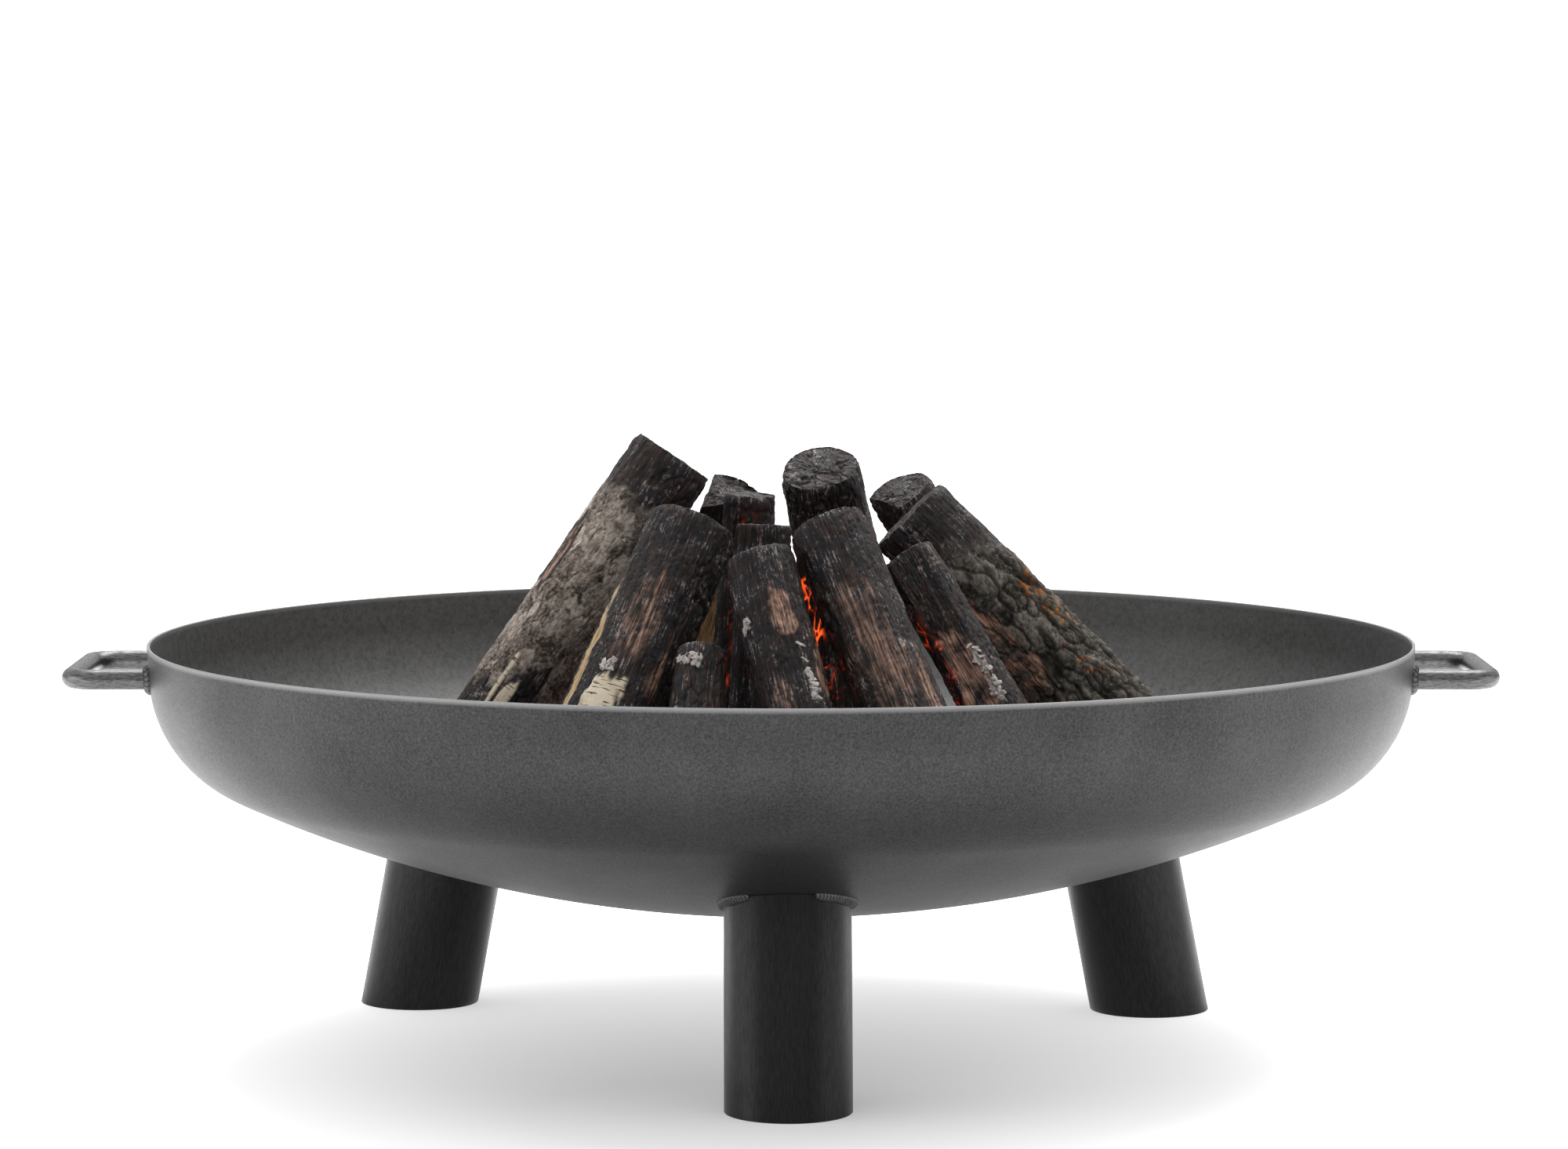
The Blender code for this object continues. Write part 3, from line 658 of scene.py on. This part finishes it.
FIREWOOD = (
    Log("log_left", (187, 0.219), (187, 0.067), 0.372, (0.0290, 0.0285), (), GREY, 0.80,
        (("char", 13, 19, 0.286, 0.334), ("red", 11, 12, 0.292, 0.326), ("paper", 76, 9, 0.200, 0.232),
         ("char", 25, 40, 0.17, 0.236), ("char", 85, 35, 0.17, 0.240), ("ash", 34, 10, 0.20, 0.216),
         ("paper", 60, 4, 0.214, 0.250), ("ash", 100, 8, 0.205, 0.214))),
    # The birch log's broad tan patch near its top is painted firelight over burnt fibre.
    Log("log_front_left_birch", (232, 0.213), (236, 0.096), 0.334, (0.0370, 0.0285), ((150, 0.75),),
        BARE, 0.0,
        (("pale", -31, 9, 0.10, 0.303), ("paper", 18, 24, 0.196, 0.250), ("tan", 26, 26, 0.248, 0.312),
         ("ash", 14, 9, 0.247, 0.256), ("tan", 70, 10, 0.23, 0.27), ("ash", 72, 8, 0.205, 0.214))),
    Log("log_front_left_stub", (255, 0.224), (252, 0.154), 0.262, (0.0225, 0.0160), ((40, 0.70),), BARE, 0.0,
        (("ash", -10, 30, 0.254, 0.262), ("ash", -30, 12, 0.222, 0.230)), 0.7, 0.5),
    Log("log_front_split", (279, 0.199), (263.5, 0.124), 0.318, (0.0335, 0.0220), ((75, 0.62), (190, 0.5)),
        BARE, 0.0,
        (("red", 70, 34, 0.225, 0.275), ("ash", 20, 6, 0.228, 0.268), ("ash", -55, 10, 0.270, 0.282),
         ("tan", -20, 22, 0.225, 0.250), ("red", 5, 20, 0.272, 0.30)), 1.0, 0.5),
    Log("log_front_right", (298, 0.222), (285.5, 0.101), 0.334, (0.0285, 0.0255), (), BARE, 0.0,
        (("tan", -25, 44, 0.22, 0.31), ("tan", 24, 18, 0.21, 0.27)), 1.0, 0.6),
    Log("log_right_char", (320, 0.224), (321, 0.100), 0.312, (0.0215, 0.0190), ((-60, 0.7),), BARE, 0.0,
        (("red", -60, 40, 0.20, 0.27), ("ash", -30, 10, 0.225, 0.262), ("glow", -95, 12, 0.20, 0.28)),
        0.8, 0.9),
    Log("log_right", (358, 0.260), (357, 0.079), 0.334, (0.0330, 0.0300), (), FURROWED, 0.86,
        (("lichen", -30, 24, 0.262, 0.30), ("lichen", -55, 14, 0.236, 0.246),
         ("red", -125, 30, 0.225, 0.28))),
    Log("log_back_right", (35, 0.226), (35, 0.089), 0.344, (0.0285, 0.0250), ((170, 0.4),), GREY, 0.72,
        (("lichen", 20, 14, 0.19, 0.22),)),
    Log("log_back", (73, 0.220), (74, 0.090), 0.358, (0.0305, 0.0270), (), BARE, 0.0,
        (("paper", -15, 26, 0.16, 0.23), ("tan", 30, 20, 0.2, 0.27))),
    Log("log_back_split", (111, 0.226), (112, 0.090), 0.340, (0.0290, 0.0250), ((60, 0.5), (185, 0.3)),
        FURROWED, 0.74, (("pale", 60, 50, 0.10, 0.22),)),
    Log("log_back_left", (149, 0.222), (149.5, 0.089), 0.352, (0.0290, 0.0250), (), GREY, 0.72,
        (("red", -20, 14, 0.22, 0.25),)),
    Log("kindling_right", (42, 0.042), (32, 0.027), 0.318, (0.0185, 0.0170), ((170, 0.5),), BARE, 0.0,
        (), 0.5, 1.3),
    Log("kindling_back", (137, 0.044), (132, 0.028), 0.346, (0.0195, 0.0175), (), BARE, 0.0, (), 0.5, 1.3),
    Log("kindling_front", (250, 0.046), (247, 0.028), 0.330, (0.0200, 0.0180), ((20, 0.6),), BARE, 0.0,
        (), 0.5, 1.3),
)
KINDS = ("red", "paper", "char", "ash", "pale", "tan", "lichen", "glow")


def log_outline(log, share, turn, seed):
    """Radius at a share of the length and an angle round the log: a taper, low lobes that only take wood
    away, and flat split faces. Gives also how far in from the round surface a split face lies."""
    radius = log.radii[0] + (log.radii[1] - log.radii[0]) * share
    lobes = np.sin(2 * turn + seed) + np.sin(3 * turn + 1.7 * seed + 2.0 * share)
    radius = radius * (1.0 - 0.02 * (2.0 + lobes))
    cut = radius
    for towards, depth in log.splits:
        facing = np.cos(turn - math.radians(towards))
        cut = np.where(facing > 0.05, np.minimum(cut, depth * log.radii[0] / np.maximum(facing, 0.05)), cut)
    return cut, radius - cut


def log_axes(log, seed):
    """The log's axis, outward side and cross direction, and its length: its foot is as low as the solid's."""
    axis = (log.top - log.aim) / np.linalg.norm(log.top - log.aim)
    radial = log.aim * np.array([1.0, 1.0, 0.0])
    out = radial - (radial @ axis) * axis
    out /= np.linalg.norm(out)
    side = np.cross(axis, out)
    turn = full_turn(16)
    reach = log_outline(log, 0.0, turn, seed)[0]
    drop = (reach * (np.cos(turn) * out[2] + np.sin(turn) * side[2])).min()
    return axis, out, side, (log.top[2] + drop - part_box(log.name)[0].z) / axis[2]


def patch_marks(log, turn, height, own, seed):
    """Each kind's mark over the log: 1 inside its patches, fading over a ragged border."""
    marks = {kind: np.zeros(height.shape) for kind in KINDS}
    for number, (kind, towards, half, low, high) in enumerate(log.patches):
        wrap = np.abs((np.degrees(turn) - towards + 180.0) % 360.0 - 180.0) / half
        rise = np.abs(height - (low + high) / 2) / ((high - low) / 2)
        ragged = np.array([1.0, 1.0, 0.35]) / 0.007
        edge = (wrap**3 + rise**3) ** (1 / 3) + 0.45 * rough(own * ragged + 5 * number, seed + 40, 3)
        marks[kind] = np.maximum(marks[kind], 1.0 - ease(edge, 0.35 if kind == "tan" else 0.82, 1.0))
    return marks


def make_log(log, seed):
    """The outline carried along the axis, its ends sawn square with worn corners. Bark plates, char checks,
    grain and lumps are then pressed into it, along the surface's own direction."""
    axis, out, side, length = log_axes(log, seed)
    axes = np.array([out, side, axis])
    edge = 2.5 * MM
    detail = 1.0
    fine = log.fine * detail
    columns, rows = int(210 * fine), int(length / ROW_PITCH * (0.75 + 0.25 * log.fine) * detail)
    cap = np.linspace(0.08, 1.0, max(int(22 * fine), 8))[:-1]
    corner = np.radians(np.linspace(90.0, 0.0, 6))
    shrink = np.concatenate([cap, np.ones(6 + rows + 6), cap[::-1]])[:, None]
    flat_end = np.full(len(cap), math.pi / 2)
    lean = np.concatenate([-flat_end, -corner, np.zeros(rows), corner[::-1], flat_end])[:, None]
    middle = np.linspace(edge, length - edge, rows + 2)[1:-1]
    rounded = edge * (1 - np.sin(corner))
    run = np.concatenate([0 * cap, rounded, middle, length - rounded[::-1], length + 0 * cap])[:, None]
    turn = full_turn(columns)
    outline, sunk = log_outline(log, run / length, turn, seed)
    radius = (outline - edge) * shrink + edge * np.cos(lean)
    own = polar(turn, radius, run)
    foot = log.top - length * axis
    height = (foot + own @ axes)[..., 2]
    drift = own + 3.7 * seed

    marks = patch_marks(log, turn + 0 * run, height, drift, seed)
    split = ease(sunk, 0.3 * MM, 1.4 * MM)
    end = ease(np.abs(lean) + 0 * turn, 0.6, 1.4)
    # Fire is inside the stack: the side away from the outward one burns first, and the top before the foot.
    inward = (1.0 - np.cos(turn)) / 2 + 0 * run
    cloud = rough(drift / 0.022, seed + 3, 4)
    heat = 0.62 * inward + 0.75 * ease(height, log.top[2] - 0.10, log.top[2]) + 0.34 * cloud
    char = ease(heat, log.burnt - 0.10, log.burnt + 0.10) if log.burnt else np.ones_like(heat)
    char = np.maximum(char, ease(height + 0.01 * cloud, log.top[2] - 0.03, log.top[2] - 0.012))
    char = np.maximum(char * (1 - 0.9 * marks["pale"]), marks["char"])

    bend = np.stack([noise(drift / 0.012 + 9 * number, seed + 5) for number in range(3)], -1)

    def at(across, along, share):
        """The place in steps of so many millimetres across and along the grain, bent by a share."""
        return drift / (np.array([across, across, along]) * MM) + share * bend

    lumps = rough(at(18, 30, 0.0), seed + 17, 4)
    crumbs = rough(drift / 0.0032, seed + 19, 2)
    grain = noise(at(1.3, 18, 0.3), seed + 13)
    coarse = noise(at(3.2, 45, 0.3), seed + 14)
    across = cracks(at(7, 3.6, 0.4), seed + 15, 0.05)
    if log.bark == FURROWED:
        # Furrows along the grain and cracks across it leave uneven plates, made of thin scales in steps.
        long_ways = noise(at(8, 21, 0.8), seed + 7)
        cross = noise(at(13, 8, 0.9), seed + 8)
        long_ways, cross = ease(np.abs(long_ways), 0.0, 0.14), ease(np.abs(cross), 0.0, 0.06)
        furrow = np.maximum(1.0 - long_ways, 0.7 - 0.7 * cross)
        small = cracks(at(2.6, 5, 0.5), seed + 9, 0.13)
        layer = 5.0 * rough(at(11, 19, 0.5), seed + 10, 4)
        step = np.floor(layer) + ease(layer - np.floor(layer), 0.70, 1.0)
        tone = np.clip(0.6 + 0.3 * step + 0.5 * crumbs, 0.0, 1.0)
        bark_dent = 1.9 * MM * furrow + 0.6 * MM * small - 0.55 * MM * step
        bark_dent = bark_dent - 0.7 * MM * crumbs - 0.4 * MM * coarse
        furrow = np.maximum(furrow, 0.6 * small)
    else:
        # Thin bark, shallowly fissured at 5 mm and 2.5 mm, with scales a few tenths of a millimetre thick.
        _, tone = cells(at(8, 17, 0.8), seed + 7)
        small = cracks(at(2.8, 5, 0.5), seed + 8, 0.13)
        furrow = cracks(at(6, 15, 0.5), seed + 9, 0.09)
        furrow = np.maximum(furrow * ease(cloud, -0.35, 0.1), 0.55 * small)
        bark_dent = 0.9 * MM * furrow + 0.5 * MM * tone - 0.45 * MM * crumbs - 0.3 * MM * coarse
        tone = tone * (0.35 + 0.65 * ease(height + 0.02 * cloud, 0.21, 0.31))
    check, coal_tone = cells(at(8, 13, 0.5), seed + 11)
    check = check + 0.05 * crumbs
    boxy = ease(rough(drift / 0.030, seed + 12, 2) + 0.7 * inward, 0.15, 0.65)
    checks = (1.0 - ease(check, 0.02, 0.16)) * boxy
    checks = np.maximum(checks, 0.7 * across * (1 - boxy))
    char_dent = 1.3 * MM * checks - 0.40 * MM * grain - 0.55 * MM * coarse + 0.5 * MM * coal_tone * boxy
    char_dent += 0.8 * MM - 0.35 * MM * crumbs
    wood_dent = 0.9 * MM - 0.25 * MM * grain - 0.5 * MM * coarse
    is_wood = np.maximum(np.maximum(split, end), marks["pale"])
    dent = blend(blend(bark_dent, wood_dent, is_wood), char_dent, char)
    paper = marks["paper"] * (1 - end)
    dent = dent * (1 - paper) - 0.15 * MM * coarse * paper
    dent -= 1.6 * MM * lumps * (1 - 0.6 * paper)
    rings = 0.12 * MM * np.sin(math.tau * np.hypot(own[..., 0], own[..., 1]) / (2.4 * MM))
    dent += rings * end * (1 - char)
    dent = np.maximum(dent - 0.5 * MM * np.cos(lean), -1.3 * MM)
    normal = polar(turn, np.cos(lean), np.sin(lean))
    # Wood also falls away from the sawn corners as it burns.
    dent += 3.0 * MM * char * ease(np.abs(run / length - 0.5) + 0 * turn, 0.47, 0.5) * (0.5 + lumps)
    grid = foot + (own - normal * dent[..., None]) @ axes

    def patches(size, number, low, high):
        """Random patches of a size, from 0 outside them to 1 inside."""
        return ease(rough(drift / size, seed + number, 3), low, high)

    patchy = patches(0.006, 23, 0.10, 0.55)
    rim = ease(check, 0.10, 0.18) * (1 - ease(check, 0.18, 0.40)) * boxy
    ash = np.clip(0.5 * rim * patchy * ease(inward, 0.1, 0.8) + 0.3 * patchy * across, 0, 1) * char
    ash = np.maximum(ash, marks["ash"] * patches(0.0042, 29, -0.15, 0.15))
    streak = 0.9 * grain + 0.9 * coarse + 0.6 * rough(drift / 0.006, seed + 31, 3)
    # Tan: streaks of burnt brown fibre over the char; the tan patches also hold painted firelight.
    tan = np.maximum(marks["tan"] * ease(streak, -0.55, 0.65), 0.22 * char * ease(streak, 0.45, 1.0))
    worn_strip = marks["pale"] * ease(coarse + 0.9, 0.1, 0.3) * (1 - 0.8 * across)
    pale = np.maximum(is_wood * (1 - char), worn_strip)
    hot = patches(0.018, 37, -0.20, 0.40) * ease(inward, 0.35, 0.9)
    hot *= 1 - ease(height, 0.24, 0.36)
    glow = np.clip(log.glow * checks * hot * char, 0, 1)
    glow = np.maximum(glow, marks["glow"] * np.clip(0.25 + 0.75 * checks, 0, 1) * patchy)
    # Painted shade: checks in the char and furrows in the bark are darkened in the colour, not only pressed
    # in.
    shade_in_cracks = np.where(char > 0.5, checks, furrow) * (1 - is_wood) * (1 - paper)
    red = marks["red"] * ease(rough(drift / 0.01, seed + 41, 3) + 0.4 * grain, -0.4, 0.3)
    red = np.maximum(red, 0.85 * tan)
    lichen = marks["lichen"] * patches(0.005, 43, 0.0, 0.3)
    tone = np.where(char > 0.5, 0.3 + 0.5 * coal_tone, tone)
    held = {"own": drift, "burn": stacked(char, ash * (1 - paper), glow),
            "skin": stacked(paper, pale * (1 - paper), red), "relief": stacked(shade_in_cracks, tone, lichen)}
    piece = wrapped(f"wood_{log.name}", grid, FURROWED_BARK if log.bark == FURROWED else GREY_BARK, held)
    slot = "charred_firewood" if log.bark == BARE else "bark_firewood"
    slot = "birch_firewood" if log.name.endswith("birch") else slot
    place(piece, log.name, slot, log.name)
    make_flakes(log, grid, normal @ axes, marks["ash"] * (ash > 0.5), seed)


# ---------------------------------------------------------------- ash and embers


def bed_top(distance, turn):
    """Height of the heap: a flattened dome whose edge runs out on the dish, with low swells round it."""
    share = distance / BED_RADIUS
    dome = (1.0 - share**2) * (1.0 - 0.25 * share)
    swell = 0.06 * np.sin(3 * turn + 0.7) + 0.05 * np.sin(5 * turn + 2.1)
    return dish_height(distance, -SHEET) + BED_HEIGHT * dome * (1.0 + swell * share) + 6 * MM


def ember_heat(points):
    """How hot the bed is at each point: most in the middle, patchy, and cold at its edge."""
    distance = np.hypot(points[..., 0], points[..., 1])
    return (1.0 - ease(distance, 0.05, 0.16)) * ease(rough(points / 0.030, 71, 3), -0.35, 0.35)


def make_bed():
    """The heap as rings out along the dish and back in over the top, whose surface is pressed into crumbs
    and lumps. The ragged edge moves in and out by a few millimetres."""
    turn = full_turn(260)
    under = np.linspace(0.1, 0.985, 8)[:, None]
    over = np.linspace(1.0, 0.02, 130)[:, None]
    rim = BED_RADIUS * (0.985 + 0.02 * noise(polar(turn, 3.0), 61))
    low = polar(turn, under * rim, dish_height(under * rim, -SHEET - GAP))
    reach = over * rim
    flat = polar(turn, reach)
    border, tone = cells(flat / 0.011, 63)
    lumps = 3.5 * MM * (1 - ease(border, 0.0, 0.5)) + 2.5 * MM * tone - 1.5 * MM * rough(flat / 0.006, 65, 3)
    edge = ease(1.0 - over, 0.0, 0.10)
    top = dish_height(reach, -SHEET - GAP) + 0.4 * MM
    high = bed_top(reach, turn) - np.maximum(lumps, 0.0)
    flat[..., 2] = blend(top, np.maximum(high, top), edge)
    grid = np.concatenate([low, flat])
    heat = ember_heat(grid)
    blank = np.zeros(low.shape[:2])
    glow = heat * np.concatenate([blank, 1 - ease(border, 0.02, 0.35)])
    coal = np.concatenate([blank + 1, ease(tone, 0.35, 0.6)])
    ash = 1.0 - coal * ease(noise(grid / 0.02, 67), -0.3, 0.3)
    burn = stacked(1.0, ash * 0.9, np.clip(0.8 * glow, 0, 1))
    # The first relief value is painted shade in the borders between the lumps.
    relief = stacked(np.concatenate([blank, 1 - ease(border, 0.0, 0.2)]), coal, 0.0)
    marks = {"own": grid, "burn": burn, "skin": 0 * burn, "relief": relief}
    bed = wrapped("ash_heap", grid, GREY_BARK, marks)
    place(bed, "fire_bowl", "ash_and_charcoal", "ash_and_ember_bed")


def chamfered_block():
    """A unit block with its edges cut: 24 points, where one coordinate is 1 and the others are 0.62, and
    the faces of their hull: 6 squares, 12 edge strips and 8 corners, as quads and triangles."""
    points, index = [], {}
    for axis in range(3):
        for signs in np.ndindex(2, 2, 2):
            sign = 1 - 2 * np.array(signs)
            index[axis, tuple(sign)] = len(points)
            points.append(sign * np.where(np.arange(3) == axis, 1.0, 0.62))

    def sign_at(axis, *signs):
        made = [0, 0, 0]
        for step, value in enumerate(signs):
            made[(axis + step) % 3] = value
        return tuple(made)

    quads, triangles = [], []
    for axis in range(3):
        for one in (1, -1):
            ring = ((1, 1), (-1, 1), (-1, -1), (1, -1))
            quads.append([index[axis, sign_at(axis, one, a, b)] for a, b in ring])
        second, third = (axis + 1) % 3, (axis + 2) % 3
        for a, b in ((1, 1), (1, -1), (-1, 1), (-1, -1)):
            near, far = sign_at(axis, 1, a, b), sign_at(axis, -1, a, b)
            quads.append([index[second, near], index[second, far], index[third, far], index[third, near]])
    for signs in np.ndindex(2, 2, 2):
        sign = tuple(1 - 2 * np.array(signs))
        triangles.append([index[0, sign], index[1, sign], index[2, sign]])
    points = np.array(points, float)

    def outwards(faces):
        faces = np.array(faces)
        corner = points[faces]
        face_out = np.cross(corner[:, 1] - corner[:, 0], corner[:, 2] - corner[:, 0])
        wrong = (face_out * corner.mean(1)).sum(-1) < 0
        faces[wrong] = faces[wrong][:, ::-1]
        return faces

    return points, outwards(quads), outwards(triangles)


def add_blocks(name, points, frames, held):
    """One mesh of many chamfered blocks: their points, their frames, and their marks for each point."""
    _, quads, triangles = chamfered_block()
    flip = np.linalg.det(frames)[:, None, None] < 0
    base = 24 * np.arange(len(points))[:, None, None]
    faces = []
    for block in (quads, triangles):
        block = np.broadcast_to(block, (len(points), *block.shape)) + base
        faces.append(np.where(flip, block[..., ::-1], block).reshape(-1, block.shape[-1]))
    held = {mark: values.reshape(-1, 3) for mark, values in held.items()}
    return add_mesh(name, points.reshape(-1, 3), faces, held, GREY_BARK, smooth=False)


def make_charcoal(count, seed):
    """Lumps of charcoal on the bed, clear of the logs and lifted clear of the dish: blocks stretched, knocked
    about and turned at random, some of them white with ash and some glowing."""
    random = np.random.default_rng(seed)
    unit = chamfered_block()[0]
    tries = count * 3
    turn = random.uniform(0.0, math.tau, tries)
    distance = BED_RADIUS * np.sqrt(random.uniform(0.0, 0.98, tries))
    size = random.uniform(3.0, 9.0, (tries, 1)) * MM
    size = size * random.uniform(0.55, 1.25, (tries, 3))
    middle = polar(turn, distance, bed_top(distance, turn))
    clear = np.full(tries, True)
    for number, log in enumerate(FIREWOOD):
        axis, _, _, length = log_axes(log, float(number))
        away = middle - log.top
        run = away @ axis
        apart = np.linalg.norm(away - run[:, None] * axis, axis=-1)
        clear &= (apart > log.radii[0] + size.max(-1) + 1.5 * MM) | (run < -length - size.max(-1) - 3 * MM)
    keep = np.flatnonzero(clear)[:count]
    middle, size = middle[keep], size[keep]
    frames = np.linalg.qr(random.normal(size=(len(keep), 3, 3)))[0]
    shape = unit + 0.16 * random.normal(size=(len(keep), *unit.shape))
    points = middle[:, None] + np.einsum("nij,nkj->nki", frames, shape * size[:, None])
    sunk = dish_height(np.hypot(points[..., 0], points[..., 1]), -SHEET) + 0.8 * MM - points[..., 2]
    points[..., 2] += np.maximum(sunk.max(1), 0.0)[:, None]
    marked = np.broadcast_to(random.uniform(0.0, 1.0, (len(keep), 1)), (len(keep), 24))
    heat = ember_heat(points) * ease(marked, 0.45, 0.85) * ease(-shape[..., 2] + 0.4, 0.0, 0.8)
    ash = np.clip(ease(0.5 - marked, 0.0, 0.4) + 0.25 * random.uniform(size=marked.shape), 0, 1)
    burn, relief = stacked(1.0, ash * 0.8, 0.9 * heat), stacked(0.0, marked, 0.0)
    own = shape * size[:, None] + 2.3 * np.arange(len(keep))[:, None, None] * 0.01
    held = {"own": own, "burn": burn, "skin": 0 * burn, "relief": relief}
    place(add_blocks("charcoal_lumps", points, frames, held), "fire_bowl", "ash_and_charcoal")


def make_flakes(log, grid, outwards, share, seed):
    """Thin flakes of white ash that stand a little off the wood, tilted at random, where its share of ash
    is high."""
    random = np.random.default_rng(900 + seed)
    spots = np.flatnonzero(share > 0.6)
    if not len(spots):
        return
    spots = random.choice(spots, size=34)
    unit = chamfered_block()[0]
    size = random.uniform((0.9, 0.6, 0.15), (3.2, 1.8, 0.35), (len(spots), 3)) * MM
    up = outwards.reshape(-1, 3)[spots] + 0.30 * random.normal(size=(len(spots), 3))
    across = np.cross(up, random.normal(size=(len(spots), 3)))
    frames = np.stack([across, np.cross(up, across), up], -1)
    frames /= np.linalg.norm(frames, axis=1, keepdims=True)
    shape = unit + 0.22 * random.normal(size=(len(spots), *unit.shape)) * np.array([1.0, 1.0, 0.3])
    middle = grid.reshape(-1, 3)[spots] + 0.5 * MM * frames[..., 2]
    points = middle[:, None] + np.einsum("nij,nkj->nki", frames, shape * size[:, None])
    own = shape * size[:, None] + 0.02 * np.arange(len(spots))[:, None, None]
    burn = np.broadcast_to([1.0, 1.0, 0.0], points.shape)
    held = {"own": own, "burn": burn, "skin": 0 * own, "relief": 0 * own}
    place(add_blocks(f"ash_flakes_{log.name}", points, frames, held), log.name, "ash_and_charcoal")


# ---------------------------------------------------------------- studio


def make_studio():
    """A white floor that runs to the horizon, a white room, and soft lights above and beside."""
    scene = bpy.context.scene
    corners = FLOOR_REACH * np.array([[-1.0, -1.0, 0.0], [1.0, -1.0, 0.0], [1.0, 1.0, 0.0], [-1.0, 1.0, 0.0]])
    floor = add_mesh("studio_floor", corners, [np.array([[0, 1, 2, 3]])], {}, studio_white())
    world = bpy.data.worlds.new("white_room")
    scene.world = world
    world.use_nodes = True
    sky = world.node_tree
    seen = add(sky, "LightPath", out="Is Camera Ray")
    facing = add(sky, "TexCoord", out="Generated")
    level = add(sky, "VectorMath", {0: facing, 1: ROOM_TILT}, operation="DOT_PRODUCT", out="Value")
    level = add(sky, "Math", {0: level, 1: ROOM_LIGHT}, operation="ADD")
    level = add(sky, "MapRange", {0: seen, 3: level, 4: 1.1})
    fill(sky, sky.nodes["Background"], {"Color": WHITE, "Strength": level})
    for name, spot, aim, width, depth, power in (
        ("top_softbox", (0.3, 1.1, 2.3), (0.0, 0.0, 0.2), 2.6, 1.7, 66.0),
        ("left_softbox", (-2.2, -0.5, 0.55), (0.0, 0.0, 0.15), 1.6, 1.0, 9.0),
        ("right_softbox", (2.2, -0.5, 0.55), (0.0, 0.0, 0.15), 1.6, 1.0, 5.0),
    ):
        lamp = bpy.data.lights.new(name, "AREA")
        lamp.shape, lamp.size, lamp.size_y, lamp.energy = "RECTANGLE", width, depth, power
        held = add_object(name, lamp)
        held.location = spot
        from_to = held.location - type(held.location)(aim)
        held.rotation_euler = from_to.to_track_quat("Z", "Y").to_euler()
    camera = bpy.data.cameras.new("camera")
    camera.sensor_width, camera.lens, camera.clip_end = 36.0, 118.33, 200.0
    held = add_object("camera", camera)
    held.location = (0.001955, -3.2565, 0.57473)
    held.rotation_euler = (math.pi / 2 - 0.0859, 0.0, 0.0)
    scene.camera = held
    scene.view_settings.view_transform = "Standard"
    scene.view_settings.look = "None"


def main():
    make_studio()
    make_bowl()
    for number, (name, (azimuth, distance)) in enumerate(LEGS.items()):
        tube = Tube(azimuth, distance)
        make_leg(name, tube)
        for stitch, (first, last) in LEG_STITCHES.items():
            make_leg_stitch(f"leg_{name}_{stitch}", tube, first, last, 10 * number + ord(stitch))
    for name, side in (("left", -1.0), ("right", 1.0)):
        make_handle(name, side)
        for number, (end, middle) in enumerate((("front", -HANDLE_SPREAD / 2), ("rear", HANDLE_SPREAD / 2))):
            make_handle_weld(f"handle_{name}_{end}", side, middle, 31 + number + (side > 0) * 2)
    make_bed()
    make_charcoal(420, 9)
    for seed, log in enumerate(FIREWOOD):
        make_log(log, seed)


main()
